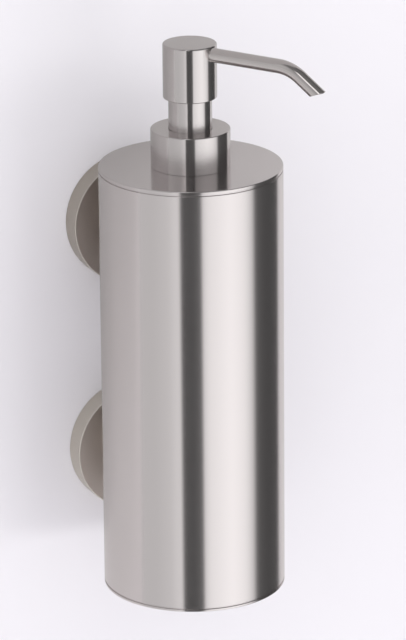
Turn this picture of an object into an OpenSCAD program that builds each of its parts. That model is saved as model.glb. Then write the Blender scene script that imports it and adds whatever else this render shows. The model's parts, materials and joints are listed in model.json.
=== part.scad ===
// Wall-mounted liquid soap dispenser with a lift-out pump.
// Millimetres. +Z is up and the wall is the plane Y = 0, with the dispenser on its -Y side.
// The origin lies on the wall, midway between the two rosettes and in line with the body's axis.

/* [Body] */
// Outer diameter of the body tube, cover and base
body_d = 76; // [72:0.5:84]
// Height of the body, from the base's underside to the cover's top face
body_h = 182.6; // [175:0.2:230]
// Wall of the body tube
tube_wall = 1.5; // [1.2:0.1:1.8]

/* [Cover and base] */
// Height of the cover's edge above the shadow seam
cover_edge_h = 1.4; // [1:0.1:2]
// Chamfer round the cover's top edge
cover_chamfer = 0.7; // [0.2:0.1:0.9]
// Height of the shadow seams at the cover and at the base
seam_h = 0.6; // [0.3:0.1:0.9]
// Depth of the shadow seams
seam_depth = 0.8; // [0.4:0.1:1]
// Height of the base plate's edge below its seam
base_edge_h = 1; // [0.6:0.1:2]
// Chamfer round the base plate's lower edge
base_chamfer = 0.3; // [0.1:0.1:0.5]
// Depth of the cover's spigot in the tube
cover_spigot_h = 8; // [6:0.5:12]
// Depth of the base plate's spigot in the tube
base_spigot_h = 4; // [3:0.5:8]
// Wall of both spigots
spigot_wall = 2.5; // [2.2:0.1:3]
// Cord diameter of the sealing ring in the cover's spigot
o_ring_d = 1.8; // [1.4:0.1:2]

/* [Inner bottle] */
// Gap between the bottle and the heads of the tube's screws
bottle_gap = 0.9; // [0.5:0.1:4]
// Wall of the bottle
bottle_wall = 1.2; // [0.9:0.1:1.6]
// Radius round the bottle's foot
bottle_foot_r = 6; // [4:0.5:8]
// Height of the push-up under the bottle
bottle_push_h = 2.5; // [1:0.5:4]
// Radius of the bottle's shoulder
shoulder_r = 10; // [6:0.5:12]
// Steepness of the shoulder, from upright
shoulder_angle = 64; // [50:1:70]
// Gap between the neck's bore and the pump's cup
neck_gap = 0.55; // [0.3:0.05:1]
// Wall of the neck, without its thread
neck_wall = 2.2; // [1.8:0.1:3]
// How far the neck's flange reaches out under the cover
neck_flange_w = 4; // [2:0.5:7]
// Thickness of that flange
neck_flange_t = 1.5; // [1:0.1:2]

/* [Collar] */
// Height of the collar's top face above the cover
collar_h = 15.8; // [14.5:0.1:18]
// Dark gap under the collar
collar_gap = 0.25; // [0.2:0.05:0.8]
// Wall of the collar shell
collar_wall = 0.6; // [0.4:0.05:0.7]
// Thickness of the collar's top
collar_top_t = 0.8; // [0.5:0.1:1.2]
// Rounding of the collar's top edge
collar_edge_r = 0.4; // [0.2:0.05:0.5]
// Thickness of the screw cap's roof
cap_roof_t = 1.8; // [1.2:0.1:2.2]
// Wall of the screw cap
cap_wall = 1.85; // [1.4:0.05:3]
// Room between the neck and the screw cap, for their thread
thread_room = 0.9; // [0.6:0.1:1.5]

/* [Pump head] */
// Diameter of the head
head_d = 22.2; // [21:0.1:26]
// Height of the head's side, up to its top face
head_h = 22.8; // [20:0.1:30]
// Rounding of the head's top edge
head_edge_r = 0.7; // [0.4:0.1:1.5]
// Rounding where the head's side turns into its underside
head_foot_r = 0.5; // [0.3:0.1:1]
// Wall of the head
head_wall = 0.8; // [0.6:0.1:1.2]
// How far the head stands out round the sleeve that runs down into the collar
head_step = 2.15; // [1.6:0.05:2.6]
// How far the head's underside rises from the sleeve out to the side
head_rise = 0.6; // [0.2:0.1:2]
// Wall of the sleeve
sleeve_wall = 0.55; // [0.4:0.05:0.7]
// How far the head can be pressed
press_travel = 10; // [8:0.5:10.5]
// Gap that is left under the head when it is pressed down
press_rest_gap = 2.65; // [0.3:0.05:4]

/* [Spout] */
// Outer diameter of the spout tube
spout_d = 5.9; // [5:0.1:6.6]
// Wall of the spout tube
spout_wall = 0.6; // [0.4:0.1:0.8]
// Distance from the head's top face down to the spout's axis
spout_depth = 3.6; // [3.4:0.1:6]
// Distance from the head's axis to the spout's bend
spout_straight = 42.6; // [35:0.1:44]
// Distance from the head's axis to the middle of the outlet
spout_reach = 61; // [58:1:62]
// Bend radius at the tube's axis
spout_bend_r = 18; // [8:0.5:20]
// How far the spout bends down
spout_bend_angle = 35; // [20:1:45]
// How far the outlet's cut rises outwards, from level
spout_cut_angle = 21; // [0:1:40]
// Which way the spout points, from straight ahead towards +X
spout_turn = 32; // [-180:1:180]
// Depth of the spout in the head, from the head's axis
spout_start = 5; // [4.5:0.5:7]

/* [Wall mount] */
// Diameter of the rosettes
rosette_d = 55.5; // [50:0.5:70]
// Thickness of the rosettes
rosette_t = 10; // [9.5:0.5:16]
// Distance between the two rosettes
rosette_spacing = 102; // [90:1:130]
// Front wall of a rosette
rosette_front_t = 3; // [2.6:0.1:3.4]
// Side wall of a rosette
rosette_side_t = 3; // [2.5:0.1:4]
// Chamfer round a rosette's front edge
rosette_chamfer = 0.4; // [0.2:0.1:1]
// Thickness of the wall plates
wall_plate_t = 6; // [5:0.5:6]
// Depth of the groove round a wall plate
plate_groove = 1; // [0.6:0.1:1.4]
// Distance between the two wall screws of a plate
wall_hole_spacing = 30; // [24:1:34]
// Hole for a wall screw
wall_hole_d = 4.6; // [4:0.1:5.5]
// Countersink for a wall screw
wall_sink_d = 8.8; // [8:0.1:10]
// Diameter of the posts
post_d = 16; // [14:0.5:22]
// Length of the posts, from the rosette to the tube's back
post_len = 18; // [17:0.5:40]

/* [Fasteners] */
// Screw that holds the tube to a post
tube_screw_d = 6; // [5:0.5:6]
// Length of that screw, under its head
tube_screw_len = 13; // [10:0.5:13]
// Height of its low head
tube_screw_head_h = 2.1; // [1.5:0.1:2.4]
// Diameter of its low head
tube_screw_head_d = 10; // [8:0.5:12]
// Countersunk screw that holds a rosette to its post
rosette_screw_d = 5; // [4:0.5:5]
// Length of that screw, with its head
rosette_screw_len = 9.5; // [7:0.5:9.5]
// Diameter of its countersunk head
rosette_screw_head_d = 9.2; // [8:0.1:10]
// Grub screw in the underside of a rosette
grub_d = 4; // [3:0.5:5]
// Diameter of the saddle washers in the tube
saddle_d = 16; // [14:0.5:20]
// Least thickness of a saddle washer, at its middle
saddle_t = 2.5; // [2:0.1:3]

/* [Pump] */
// Bore of the pump cylinder
cylinder_bore_d = 14; // [13:0.1:14.6]
// Wall of the pump cylinder
cylinder_wall = 1; // [0.8:0.1:1.2]
// Thickness of the housing's flange on the neck
housing_flange_t = 1.3; // [1:0.1:1.8]
// Thickness of the gasket on the neck
gasket_t = 1.2; // [0.8:0.1:2]
// Wall of the cup round the sleeve
cup_wall = 0.9; // [0.7:0.1:1]
// Diameter of the stem
stem_d = 6.8; // [6.2:0.1:7]
// Bore of the stem
stem_bore_d = 3.2; // [2.6:0.1:3.4]
// Diameter of the stem's spigot through the piston
stem_spigot_d = 4.8; // [4.4:0.1:5]
// Height of the piston
piston_h = 8; // [7:0.5:10]
// Wire of the return spring
spring_wire_d = 0.9; // [0.7:0.1:1.1]
// Gap between the return spring and the cylinder
spring_side_gap = 1.35; // [1:0.05:1.7]
// Length of the return spring at rest
spring_len = 26; // [24:1:34]
// Turns of the return spring
spring_turns = 9; // [7:1:10]
// Diameter of the inlet ball
inlet_ball_d = 4.76; // [4.4:0.01:5]
// Diameter of the outlet ball
outlet_ball_d = 4; // [3.8:0.01:4.2]
// How far each ball lifts
ball_lift = 1.2; // [0.8:0.1:1.5]
// Outer diameter of the dip tube
dip_d = 7.2; // [6:0.1:8]
// Wall of the dip tube
dip_wall = 0.9; // [0.6:0.1:1.2]
// Gap under the dip tube
dip_foot_gap = 2; // [1:0.5:6]

/* [Clearances] */
// Pieces that are pushed or screwed together
fit_gap = 0.05; // [0.02:0.01:0.06]
// Round pieces that slide or turn in each other
run_gap = 0.1; // [0.06:0.01:0.1]
// Pieces that pass each other without a fit
free_gap = 0.3; // [0.25:0.05:0.35]
// Play of screws in their holes
screw_gap = 0.25; // [0.1:0.05:0.3]

/* [Hidden] */
$fn = 72;
// Finer steps of a full turn, for the saddles in the tube
saddle_steps = 360;
// Overrun of all cuts
cut = 1;
// Steps of a rounded edge in an outline
arc_steps = 6;
metal = "silver";
dark_metal = "dimgray";
milky = "whitesmoke";
rubber = "black";

// Body, in heights above the middle between the rosettes
body_r = body_d / 2;
tube_in_r = body_r - tube_wall;
axis_out = rosette_t + post_len + body_r;
cover_z = body_h / 2;
base_z = -body_h / 2;
tube_top_z = cover_z - cover_edge_h - seam_h;
tube_foot_z = base_z + base_edge_h + seam_h;
seam_r = body_r - seam_depth;
spigot_gap = 0.2;
cover_spigot_r = tube_in_r - spigot_gap;
base_spigot_r = tube_in_r - fit_gap;
groove_slack = 0.3;
o_ring_r = tube_in_r - fit_gap - o_ring_d / 2;
groove_in_r = o_ring_r - o_ring_d / 2 - fit_gap;
groove_h = o_ring_d + groove_slack;

// From the head's sleeve out to the collar
head_r = head_d / 2;
sleeve_r = head_r - head_step;
sleeve_in_r = sleeve_r - sleeve_wall;
cup_r = sleeve_r + free_gap + run_gap;
cup_out_r = cup_r + cup_wall;
neck_bore_r = cup_out_r + neck_gap;
neck_r = neck_bore_r + neck_wall;
neck_flange_r = neck_r + neck_flange_w;
cover_hole_r = neck_r + free_gap;
cap_bore_r = neck_r + thread_room;
cap_r = cap_bore_r + cap_wall;
collar_r = cap_r + fit_gap + collar_wall;
collar_hole_r = sleeve_r + free_gap;

// Heights in the collar
collar_top_z = cover_z + collar_h;
collar_foot_z = cover_z + collar_gap;
cap_top_z = collar_top_z - collar_top_t - fit_gap;
cap_roof_z = cap_top_z - cap_roof_t;
cap_foot_gap = 0.15;
cap_foot_z = cover_z + cap_foot_gap;
// How far the sleeve reaches below the collar's top plate
sleeve_engage = 0.8;
sleeve_foot_z = collar_top_z - collar_top_t - sleeve_engage;
housing_flange_z = cap_roof_z - run_gap;
gasket_z = housing_flange_z - housing_flange_t;
neck_top_z = gasket_z - gasket_t;
flange_top_z = tube_top_z;
flange_foot_z = flange_top_z - neck_flange_t;

// Inner bottle
bottle_r = tube_in_r - saddle_t - tube_screw_head_h - bottle_gap;
bottle_base_gap = 1;
bottle_z = tube_foot_z + bottle_base_gap;
push_share = 0.7;
shoulder_c_r = bottle_r - shoulder_r;
shoulder_run = shoulder_c_r + shoulder_r * cos(shoulder_angle) - neck_r;
shoulder_z = flange_foot_z - shoulder_r * sin(shoulder_angle) - shoulder_run / tan(shoulder_angle);
shoulder_in_r = shoulder_r - bottle_wall;
shoulder_in_run = shoulder_c_r + shoulder_in_r * cos(shoulder_angle) - neck_bore_r;
neck_root_z = shoulder_z + shoulder_in_r * sin(shoulder_angle) + shoulder_in_run / tan(shoulder_angle);

// Head
head_in_r = head_r - head_wall;
sleeve_show = press_travel + press_rest_gap;
under_z = collar_top_z + sleeve_show;
under_angle = atan(head_rise / head_step);
head_foot_z = under_z + head_rise;
// Centre of the rounding between the underside and the side
foot_round_z = head_foot_z + head_foot_r * tan((90 - under_angle) / 2);
head_top_z = head_foot_z + head_h;
spout_z = head_top_z - spout_depth;
spout_r = spout_d / 2;
spout_bore_r = spout_r - spout_wall;
spout_sides = 24;
spout_bend_steps = 8;
spout_bend_x = spout_bend_r * sin(spout_bend_angle);
spout_bend_z = spout_bend_r * (1 - cos(spout_bend_angle));
spout_tip_drop = spout_bend_z + (spout_reach - spout_straight - spout_bend_x) * tan(spout_bend_angle);

// Pump housing and the guide of the stem
guide_flange_t = 1.2;
guide_flange_z = sleeve_foot_z - press_travel - free_gap;
cup_floor_z = guide_flange_z - guide_flange_t;
cup_floor_t = 1.2;
cup_foot_z = cup_floor_z - cup_floor_t;
cylinder_r = cylinder_bore_d / 2;
cylinder_out_r = cylinder_r + cylinder_wall;
guide_top_gap = 1.6;
guide_top_z = collar_top_z - guide_top_gap;
guide_r = sleeve_in_r - free_gap;
guide_cavity_r = guide_r - 2 * cylinder_wall;
guide_roof_t = 3;
stem_r = stem_d / 2;
stem_bore_r = stem_bore_d / 2;
stem_spigot_r = stem_spigot_d / 2;

// Piston, the stem's foot and the spring
piston_top_z = cup_floor_z - free_gap;
piston_foot_z = piston_top_z - piston_h;
piston_r = cylinder_r - fit_gap;
lip_t = 0.8;
lip_waist = 0.5;
lip_h = 2;
piston_web_t = 2;
piston_hub_r = stem_r + lip_t;
foot_flange_t = 1.2;
foot_flange_z = piston_foot_z - run_gap;
foot_flange_r = cylinder_r - lip_t;
foot_barrel_len = 8;
foot_socket_len = 5;
spring_seat_gap = 0.1;
spring_top_z = foot_flange_z - foot_flange_t - spring_seat_gap;
spring_foot_z = spring_top_z - spring_len;
ledge_z = spring_foot_z - spring_seat_gap;
spring_wire_r = spring_wire_d / 2;
spring_r = cylinder_r - spring_side_gap - spring_wire_r;
// Gap between neighbouring wires in the closed turn at each end
spring_end_gap = 0.5;
spring_end_pitch = spring_wire_d + spring_end_gap;
spring_rise = spring_len - spring_wire_d;
spring_mid_pitch = (spring_rise - 2 * spring_end_pitch) / (spring_turns - 2);
spring_ring_steps = 8;
spring_sides = 6;

// Valves: a ball rests in a cone of 45 degrees
ball_play = 0.4;
seat_play = 0.07;
inlet_r = inlet_ball_d / 2;
inlet_passage_r = 1.6;
inlet_chamber_r = inlet_r + ball_play;
cage_lip_t = 1.2;
cage_lip_r = inlet_r - ball_play;
cage_lip_z = ledge_z - cage_lip_t;
cage_slot_w = 1.2;
inlet_ball_z = cage_lip_z - free_gap - ball_lift - inlet_r;
inlet_seat_z = inlet_ball_z - seat_play - inlet_r * sqrt(2) + inlet_passage_r;
inlet_seat_h = inlet_chamber_r - inlet_passage_r;
outlet_r = outlet_ball_d / 2;
outlet_chamber_r = outlet_r + ball_play;
channel_r = 1.6;
channel_roof_t = 0.8;
outlet_roof_z = spout_z - channel_r - channel_roof_t;
outlet_ball_z = outlet_roof_z - free_gap - ball_lift - outlet_r;
outlet_seat_z = outlet_ball_z - seat_play - outlet_r * sqrt(2) + stem_bore_r;
outlet_seat_h = 0.8;
stem_top_z = outlet_seat_z + outlet_seat_h;

// Dip tube and its socket
dip_r = dip_d / 2;
socket_wall = 1.1;
socket_out_r = dip_r + fit_gap + socket_wall;
socket_web_t = 1.6;
socket_len = 10;
socket_top_z = inlet_seat_z - socket_web_t;
socket_foot_z = socket_top_z - socket_len;
dip_top_z = socket_top_z - run_gap;
dip_foot_z = bottle_z + bottle_push_h + bottle_wall + dip_foot_gap;
dip_cut_angle = 45;
vent_d = 1.2;

// Core of the head
core_gap_z = free_gap + run_gap;
core_foot_z = guide_top_z + press_travel + core_gap_z;
core_low_r = sleeve_in_r - fit_gap;
core_r = head_in_r - fit_gap;
core_top_z = head_top_z - head_wall - fit_gap;
// The head's floor inside, parallel to its underside
head_floor_z = under_z + head_wall / cos(under_angle) - sleeve_wall * tan(under_angle);
head_floor_edge_z = head_floor_z + (head_in_r - sleeve_in_r) * tan(under_angle);
stem_seat_shoulder = stem_top_z + fit_gap;

// Wall mount
rosette_r = rosette_d / 2;
hollow_r = rosette_r - rosette_side_t;
hollow_t = rosette_t - rosette_front_t;
plate_r = hollow_r - free_gap;
plate_groove_z = wall_plate_t / 2 + plate_groove / 2;
post_r = post_d / 2;
sink_h = (wall_sink_d - wall_hole_d) / 2;
rosette_sink_h = (rosette_screw_head_d - rosette_screw_d) / 2;
screw_end_gap = 0.7;
saddle_face = tube_in_r - saddle_t;
saddle_back = body_r - saddle_face;
tube_screw_hex = 4;
rosette_screw_hex = 3;
grub_hex = 2;
hex_depth = 1.4;
grub_tip_gap = 0.15;
grub_inset = 0.3;

// The least gap between the wires of two neighbouring turns, measured on the wire's own points
spring_points = [for (i = [0 : spring_turns * spring_ring_steps]) spring_at(i / spring_ring_steps)];
spring_gap = min([
    for (i = [0 : len(spring_points) - 1])
        for (j = [i + spring_ring_steps / 2 : len(spring_points) - 1])
            norm(spring_points[j] - spring_points[i]) - spring_wire_d
]);
echo(spring_least_gap = spring_gap);

function height_at(turn) =
    turn < 1 ? turn * spring_end_pitch
    : turn > spring_turns - 1 ? spring_rise - (spring_turns - turn) * spring_end_pitch
    : spring_end_pitch + (turn - 1) * spring_mid_pitch;
function spring_at(turn) = [
    spring_r * cos(360 * turn),
    spring_r * sin(360 * turn),
    spring_wire_r + height_at(turn)
];
function rounding(r_mid, z_mid, radius, from, to) = [
    for (i = [0 : arc_steps])
        let (a = from + (to - from) * i / arc_steps)
            [r_mid + radius * cos(a), z_mid + radius * sin(a)]
];
// One ring of the spout's wall, square to the tube, where it has turned down by an angle
function spout_ring(radius, turned_down, x) = [
    for (k = [0 : spout_sides - 1])
        let (a = 360 * k / spout_sides)
            [
                x + (spout_bend_r + radius * cos(a)) * sin(turned_down),
                radius * sin(a),
                (spout_bend_r + radius * cos(a)) * cos(turned_down) - spout_bend_r
            ]
];
// All rings of the spout's wall, from the head to the slanted cut at the outlet
function spout_rings(radius) =
    let (bend_end = spout_ring(radius, spout_bend_angle, spout_straight))
        concat(
            spout_ring(radius, 0, spout_start),
            [
                for (i = [0 : spout_bend_steps])
                    each spout_ring(radius, spout_bend_angle * i / spout_bend_steps, spout_straight)
            ],
            [
                for (p = bend_end)
                    let (
                        across = (spout_reach - p.x) * sin(spout_cut_angle)
                            + (p.z + spout_tip_drop) * cos(spout_cut_angle),
                        run = across / sin(spout_bend_angle + spout_cut_angle)
                    )
                        [p.x + run * cos(spout_bend_angle), p.y, p.z - run * sin(spout_bend_angle)]
            ]
        );
// Triangles between neighbouring rings, from one first point up to the last ring
function wall_faces(from, last, inward) = [
    for (i = [0 : spout_sides : last - 1])
        for (k = [0 : spout_sides - 1])
            let (
                a = from + i + k,
                b = from + i + (k + 1) % spout_sides,
                c = b + spout_sides,
                d = a + spout_sides
            )
                each inward ? [[a, c, b], [a, d, c]] : [[a, b, c], [a, c, d]]
];
// Triangles of the flat rim between an outer ring and an inner one
function rim_faces(outer, inner, near_head) = [
    for (k = [0 : spout_sides - 1])
        let (
            next = (k + 1) % spout_sides,
            a = outer + k,
            b = outer + next,
            c = inner + next,
            d = inner + k
        )
            each near_head ? [[a, c, b], [a, d, c]] : [[a, b, c], [a, c, d]]
];
// Places a piece on the body's axis, with heights kept
module on_axis() translate([0, -axis_out, 0]) children();
// Places a piece at one rosette, with its own +Z pointing away from the wall and its +Y up
module from_wall(height) translate([0, 0, height]) rotate([90, 0, 0]) children();
// Repeats a piece at both rosettes
module at_both() for (side = [-1, 1]) from_wall(side * rosette_spacing / 2) children();
module turned(outline) rotate_extrude() polygon(outline);
module hexagon(across, depth) cylinder(r = across / sqrt(3), h = depth, $fn = 6);
module to_spout() translate([0, 0, spout_z]) rotate([0, 0, spout_turn - 90]) children();

// Body

module body_tube() {
    color(metal) on_axis() difference() {
        translate([0, 0, tube_foot_z]) cylinder(r = body_r, h = tube_top_z - tube_foot_z);
        translate([0, 0, tube_foot_z - cut])
            cylinder(r = tube_in_r, h = tube_top_z - tube_foot_z + 2 * cut);
        for (side = [-1, 1])
            translate([0, 0, side * rosette_spacing / 2])
                rotate([-90, 0, 0]) cylinder(r = tube_screw_d / 2 + screw_gap, h = body_d);
    }
}

module base_plate() {
    color(metal) on_axis() turned([
        [0, base_z],
        [body_r - base_chamfer, base_z],
        [body_r, base_z + base_chamfer],
        [body_r, base_z + base_edge_h],
        [seam_r, base_z + base_edge_h],
        [seam_r, tube_foot_z],
        [base_spigot_r, tube_foot_z],
        [base_spigot_r, tube_foot_z + base_spigot_h],
        [base_spigot_r - spigot_wall, tube_foot_z + base_spigot_h],
        [base_spigot_r - spigot_wall, tube_foot_z],
        [0, tube_foot_z]
    ]);
}

module top_cover() {
    groove_z = tube_top_z - cover_spigot_h / 2 - groove_h / 2;
    color(metal) on_axis() difference() {
        turned([
            [cover_hole_r, cover_z],
            [cover_hole_r, tube_top_z],
            [cover_spigot_r - spigot_wall, tube_top_z],
            [cover_spigot_r - spigot_wall, tube_top_z - cover_spigot_h],
            [cover_spigot_r, tube_top_z - cover_spigot_h],
            [cover_spigot_r, tube_top_z],
            [seam_r, tube_top_z],
            [seam_r, cover_z - cover_edge_h],
            [body_r, cover_z - cover_edge_h],
            [body_r, cover_z - cover_chamfer],
            [body_r - cover_chamfer, cover_z]
        ]);
        translate([0, 0, groove_z]) difference() {
            cylinder(r = cover_spigot_r + cut, h = groove_h);
            translate([0, 0, -cut]) cylinder(r = groove_in_r, h = groove_h + 2 * cut);
        }
    }
}

module cover_seal_ring() {
    color(rubber) on_axis() translate([0, 0, tube_top_z - cover_spigot_h / 2])
        rotate_extrude() translate([o_ring_r, 0]) circle(d = o_ring_d);
}

module inner_bottle() {
    push_r = (bottle_r - bottle_foot_r) * push_share;
    foot_in_r = bottle_foot_r - bottle_wall;
    color(milky) on_axis() turned(concat(
        [[0, bottle_z + bottle_push_h], [push_r, bottle_z]],
        rounding(bottle_r - bottle_foot_r, bottle_z + bottle_foot_r, bottle_foot_r, -90, 0),
        rounding(shoulder_c_r, shoulder_z, shoulder_r, 0, shoulder_angle),
        [
            [neck_r, flange_foot_z],
            [neck_flange_r, flange_foot_z],
            [neck_flange_r, flange_top_z],
            [neck_r, flange_top_z],
            [neck_r, neck_top_z],
            [neck_bore_r, neck_top_z],
            [neck_bore_r, neck_root_z]
        ],
        rounding(shoulder_c_r, shoulder_z, shoulder_in_r, shoulder_angle, 0),
        rounding(bottle_r - bottle_foot_r, bottle_z + bottle_foot_r, foot_in_r, 0, -90),
        [[push_r, bottle_z + bottle_wall], [0, bottle_z + bottle_push_h + bottle_wall]]
    ));
}

// Wall mount

module rosette() {
    difference() {
        turned([
            [0, 0],
            [rosette_r, 0],
            [rosette_r, rosette_t - rosette_chamfer],
            [rosette_r - rosette_chamfer, rosette_t],
            [0, rosette_t]
        ]);
        translate([0, 0, -cut]) cylinder(r = hollow_r, h = hollow_t + cut);
        cylinder(r = rosette_screw_d / 2 + screw_gap, h = rosette_t + cut);
        translate([0, 0, hollow_t]) sink(rosette_screw_d / 2 + screw_gap, rosette_sink_h);
        translate([0, 0, plate_groove_z]) rotate([90, 0, 0])
            cylinder(r = grub_d / 2 + fit_gap, h = rosette_d);
    }
}

// A countersink of 45 degrees that opens towards the wall
module sink(least_r, depth) cylinder(r1 = least_r + depth, r2 = least_r, h = depth);

module wall_plate() {
    groove_half = plate_groove;
    difference() {
        turned([
            [0, 0],
            [plate_r, 0],
            [plate_r, plate_groove_z - groove_half],
            [plate_r - plate_groove, plate_groove_z],
            [plate_r, plate_groove_z + groove_half],
            [plate_r, wall_plate_t],
            [0, wall_plate_t]
        ]);
        for (side = [-1, 1]) translate([side * wall_hole_spacing / 2, 0, 0]) {
            translate([0, 0, -cut]) cylinder(d = wall_hole_d, h = wall_plate_t + 2 * cut);
            translate([0, 0, wall_plate_t - sink_h])
                cylinder(d1 = wall_hole_d, d2 = wall_sink_d, h = sink_h);
        }
    }
}

module post() {
    back_hole = rosette_screw_len - rosette_front_t + screw_end_gap;
    front_hole = tube_screw_len - saddle_back + screw_end_gap;
    difference() {
        translate([0, 0, rosette_t]) cylinder(r = post_r, h = post_len + body_r / 2);
        translate([0, 0, axis_out]) rotate([90, 0, 0])
            cylinder(r = body_r + fit_gap, h = 2 * post_d, center = true);
        translate([0, 0, rosette_t - cut])
            cylinder(r = rosette_screw_d / 2 + fit_gap, h = back_hole + cut);
        translate([0, 0, rosette_t + post_len - front_hole])
            cylinder(r = tube_screw_d / 2 + fit_gap, h = body_r);
    }
}

module upper_rosette() color(metal) from_wall(rosette_spacing / 2) rosette();
module lower_rosette() color(metal) from_wall(-rosette_spacing / 2) rosette();
module upper_wall_plate() color(dark_metal) from_wall(rosette_spacing / 2) wall_plate();
module lower_wall_plate() color(dark_metal) from_wall(-rosette_spacing / 2) wall_plate();
module upper_post() color(metal) from_wall(rosette_spacing / 2) post();
module lower_post() color(metal) from_wall(-rosette_spacing / 2) post();

module grub_screws() {
    tip_r = plate_r - plate_groove + grub_tip_gap;
    shoulder = tip_r + grub_d / 2;
    end_r = rosette_r - grub_inset;
    color(dark_metal) at_both() translate([0, 0, plate_groove_z]) rotate([90, 0, 0]) difference() {
        turned([[0, tip_r], [grub_d / 2, shoulder], [grub_d / 2, end_r], [0, end_r]]);
        translate([0, 0, end_r - hex_depth]) hexagon(grub_hex, hex_depth + cut);
    }
}

module rosette_screws() {
    head_r = rosette_screw_head_d / 2;
    shank_r = rosette_screw_d / 2;
    color(dark_metal) at_both() translate([0, 0, hollow_t]) difference() {
        turned([
            [0, 0],
            [head_r, 0],
            [shank_r, rosette_sink_h],
            [shank_r, rosette_screw_len],
            [0, rosette_screw_len]
        ]);
        translate([0, 0, -cut]) hexagon(rosette_screw_hex, hex_depth + cut);
    }
}

module tube_screws() {
    color(dark_metal) at_both() translate([0, 0, axis_out - saddle_face]) mirror([0, 0, 1]) difference() {
        union() {
            translate([0, 0, -tube_screw_head_h]) cylinder(d = tube_screw_head_d, h = tube_screw_head_h);
            cylinder(d = tube_screw_d, h = tube_screw_len);
        }
        translate([0, 0, -tube_screw_head_h - cut]) hexagon(tube_screw_hex, hex_depth + cut);
    }
}

module saddle_washers() {
    color(dark_metal) at_both() difference() {
        intersection() {
            translate([0, 0, rosette_t + post_len]) cylinder(d = saddle_d, h = saddle_back);
            translate([0, 0, axis_out]) rotate([90, 0, 0])
                cylinder(r = tube_in_r - fit_gap, h = 2 * saddle_d, center = true, $fn = saddle_steps);
        }
        cylinder(r = tube_screw_d / 2 + screw_gap, h = axis_out);
    }
}

// Collar

module collar_shell() {
    in_r = collar_r - collar_wall;
    color(metal) on_axis() turned(concat(
        [[collar_hole_r, collar_top_z]],
        rounding(collar_r - collar_edge_r, collar_top_z - collar_edge_r, collar_edge_r, 90, 0),
        [
            [collar_r, collar_foot_z],
            [in_r, collar_foot_z],
            [in_r, collar_top_z - collar_top_t],
            [collar_hole_r, collar_top_z - collar_top_t]
        ]
    ));
}

module screw_cap() {
    color(milky) on_axis() turned([
        [cup_r, cap_top_z],
        [cap_r, cap_top_z],
        [cap_r, cap_foot_z],
        [cap_bore_r, cap_foot_z],
        [cap_bore_r, cap_roof_z],
        [cup_r, cap_roof_z]
    ]);
}

// Pump

module pump_housing() {
    cone_h = cylinder_out_r - socket_out_r;
    color(milky) on_axis() difference() {
        turned([
            [neck_r, housing_flange_z],
            [neck_r, gasket_z],
            [cup_out_r, gasket_z],
            [cup_out_r, cup_foot_z + cup_floor_t],
            [cylinder_out_r, cup_foot_z],
            [cylinder_out_r, ledge_z],
            [socket_out_r, ledge_z - cone_h],
            [socket_out_r, socket_foot_z],
            [dip_r + fit_gap, socket_foot_z],
            [dip_r + fit_gap, socket_top_z],
            [inlet_passage_r, socket_top_z],
            [inlet_passage_r, inlet_seat_z],
            [inlet_chamber_r, inlet_seat_z + inlet_seat_h],
            [inlet_chamber_r, cage_lip_z],
            [cage_lip_r, cage_lip_z],
            [cage_lip_r, ledge_z],
            [cylinder_r, ledge_z],
            [cylinder_r, cup_floor_z],
            [cup_r, cup_floor_z],
            [cup_r, housing_flange_z]
        ]);
        // Slots that let soap past the lifted ball
        for (turn = [0, 120, 240]) rotate([0, 0, turn])
            translate([0, -cage_slot_w / 2, cage_lip_z]) cube([inlet_chamber_r, cage_slot_w, cage_lip_t + cut]);
        // Vent that lets air into the bottle
        translate([0, 0, piston_foot_z + lip_h + lip_t]) rotate([0, 90, 0])
            cylinder(d = vent_d, h = cylinder_out_r + cut);
    }
}

module stem_guide() {
    color(milky) on_axis() turned([
        [stem_r + run_gap, guide_top_z],
        [guide_r, guide_top_z],
        [guide_r, guide_flange_z],
        [cup_r - fit_gap, guide_flange_z],
        [cup_r - fit_gap, cup_floor_z],
        [guide_cavity_r, cup_floor_z],
        [guide_cavity_r, guide_top_z - guide_roof_t],
        [stem_r + run_gap, guide_top_z - guide_roof_t]
    ]);
}

module neck_gasket() {
    color(rubber) on_axis() turned([
        [cup_out_r + run_gap, neck_top_z],
        [neck_r, neck_top_z],
        [neck_r, gasket_z],
        [cup_out_r + run_gap, gasket_z]
    ]);
}

module dip_tube() {
    color(milky) on_axis() difference() {
        translate([0, 0, dip_foot_z]) cylinder(r = dip_r, h = dip_top_z - dip_foot_z);
        translate([0, 0, dip_foot_z - cut]) cylinder(r = dip_r - dip_wall, h = dip_top_z - dip_foot_z + 2 * cut);
        translate([-dip_r, -dip_d, dip_foot_z]) rotate([0, dip_cut_angle, 0])
            cube([2 * dip_d, 2 * dip_d, dip_d]);
    }
}

module return_spring() {
    last = spring_turns * spring_ring_steps;
    rings = [
        for (i = [0 : last])
            let (middle = spring_points[i], heading = 360 * i / spring_ring_steps)
                for (k = [0 : spring_sides - 1])
                    let (a = 360 * k / spring_sides, out = spring_wire_r * cos(a))
                        middle + [out * cos(heading), out * sin(heading), spring_wire_r * sin(a)]
    ];
    sides = [
        for (i = [0 : last - 1])
            for (k = [0 : spring_sides - 1])
                let (
                    a = i * spring_sides + k,
                    b = i * spring_sides + (k + 1) % spring_sides,
                    c = b + spring_sides,
                    d = a + spring_sides
                )
                    each [[a, b, c], [a, c, d]]
    ];
    first_end = [for (k = [1 : spring_sides - 2]) [0, k + 1, k]];
    last_end = [for (k = [1 : spring_sides - 2]) [0, k, k + 1] + last * spring_sides * [1, 1, 1]];
    color(metal) on_axis() translate([0, 0, spring_foot_z])
        polyhedron(points = rings, faces = concat(sides, first_end, last_end));
}

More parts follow.
